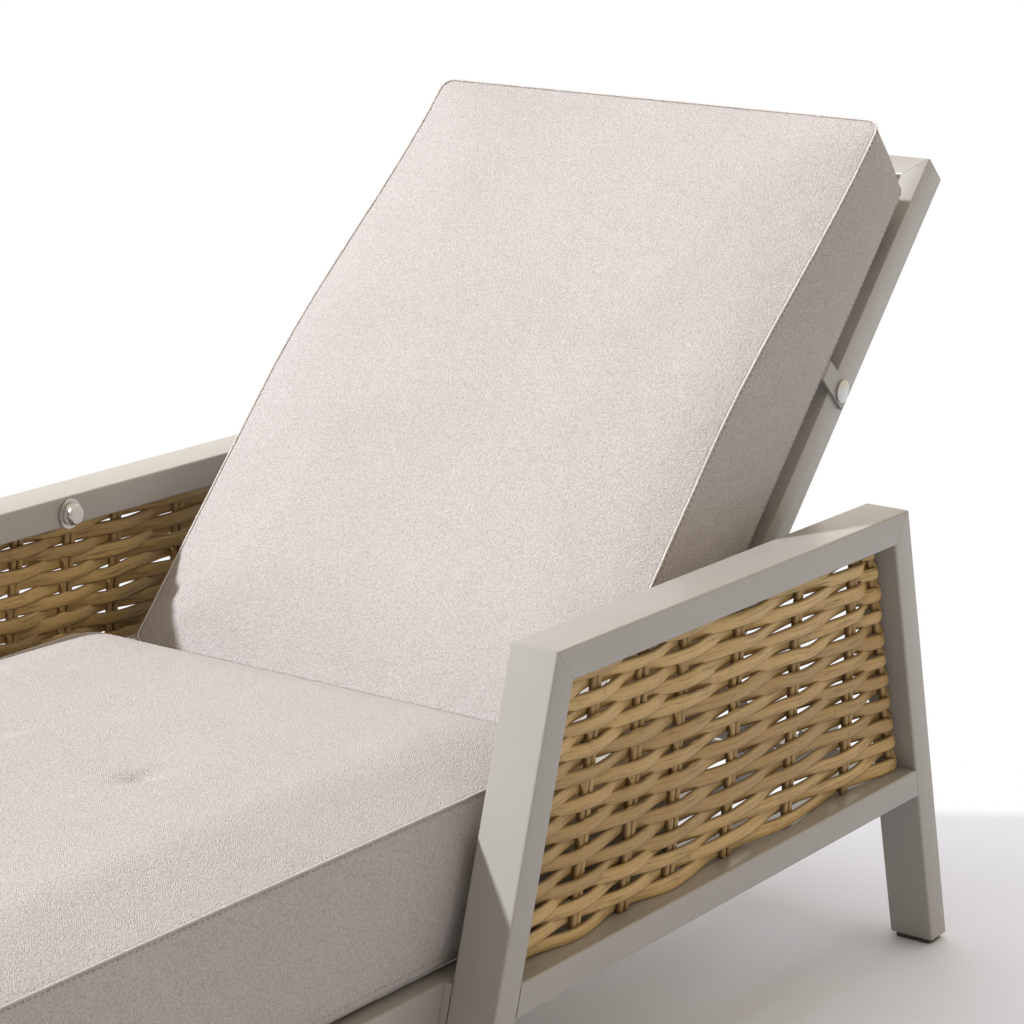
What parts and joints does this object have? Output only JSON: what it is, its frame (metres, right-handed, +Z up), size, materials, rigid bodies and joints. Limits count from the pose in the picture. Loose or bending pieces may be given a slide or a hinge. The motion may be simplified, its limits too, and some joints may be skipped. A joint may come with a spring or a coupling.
{
  "type": "reclining sun lounger",
  "caption": "Reclining sun lounger: aluminium tube frame, woven armrest panels, boxed seat and backrest cushions, backrest hinged on a notched prop.",
  "frame": {"origin": "on the floor, under the centre of the lounger's bounding box with the backrest raised as in the rest pose", "axes": "+Z up, +Y towards the head end, -Y towards the foot end, X across the width (the lounger is symmetric about X = 0)"},
  "size_m": [0.747, 1.7488, 0.8783],
  "materials": {
    "frame_paint": "satin powder coat, warm greige",
    "cushion_fabric": "light warm beige woven outdoor fabric, matt",
    "wicker": "round honey coloured synthetic rattan, satin",
    "steel": "brushed stainless steel",
    "glide_plastic": "dark plastic"
  },
  "bodies": {
    "base": {"arm_bolt_left": "steel", "arm_bolt_right": "steel", "arm_front_leg_left": "frame_paint", "arm_front_leg_right": "frame_paint", "arm_lower_rail_left": "frame_paint", "arm_lower_rail_right": "frame_paint", "arm_rear_leg_left": "frame_paint", "arm_rear_leg_right": "frame_paint", "arm_top_rail_left": "frame_paint", "arm_top_rail_right": "frame_paint", "arm_washer_left": "steel", "arm_washer_right": "steel", "cross_bar_head": "frame_paint", "cross_bar_middle": "frame_paint", "foot_glide_left": "glide_plastic", "foot_glide_right": "glide_plastic", "foot_leg_left": "frame_paint", "foot_leg_right": "frame_paint", "foot_rail": "frame_paint", "front_bracket_left": "frame_paint", "front_bracket_right": "frame_paint", "front_glide_left": "glide_plastic", "front_glide_right": "glide_plastic", "hinge_block_left": "frame_paint", "hinge_block_right": "frame_paint", "hinge_pin_left": "steel", "hinge_pin_right": "steel", "rack_left": "frame_paint", "rack_right": "frame_paint", "rear_bracket_left": "frame_paint", "rear_bracket_right": "frame_paint", "rear_glide_left": "glide_plastic", "rear_glide_right": "glide_plastic", "seat_cushion": "cushion_fabric", "seat_slat_1": "frame_paint", "seat_slat_2": "frame_paint", "seat_slat_3": "frame_paint", "seat_slat_4": "frame_paint", "seat_slat_5": "frame_paint", "seat_slat_6": "frame_paint", "side_rail_left": "frame_paint", "side_rail_right": "frame_paint", "wicker_panel_left": "wicker", "wicker_panel_right": "wicker"},
    "backrest": {"back_cushion": "cushion_fabric", "back_foot_rail": "frame_paint", "back_rail_left": "frame_paint", "back_rail_right": "frame_paint", "back_slat_1": "frame_paint", "back_slat_2": "frame_paint", "back_slat_3": "frame_paint", "back_strap": "frame_paint", "back_top_rail": "frame_paint", "prop_pin_left": "steel", "prop_pin_right": "steel", "strap_bolt_left": "steel", "strap_bolt_right": "steel"},
    "prop": {"prop_arm_left": "frame_paint", "prop_arm_right": "frame_paint", "prop_bar": "steel"}
  },
  "joints": [
    {"name": "backrest_recline", "type": "hinge", "parent": "base", "child": "backrest", "pos_m": [0, 0.321, 0.216], "axis": [1, 0, 0], "range_deg": [-48, 14]},
    {"name": "prop_pivot", "type": "hinge", "parent": "backrest", "child": "prop", "pos_m": [0, 0.46821, 0.37949], "axis": [1, 0, 0], "range_deg": [-28, 96]}
  ],
  "couplings": [
    {"joint": "prop_pivot", "follows": "backrest_recline", "ratio": -2}
  ]
}
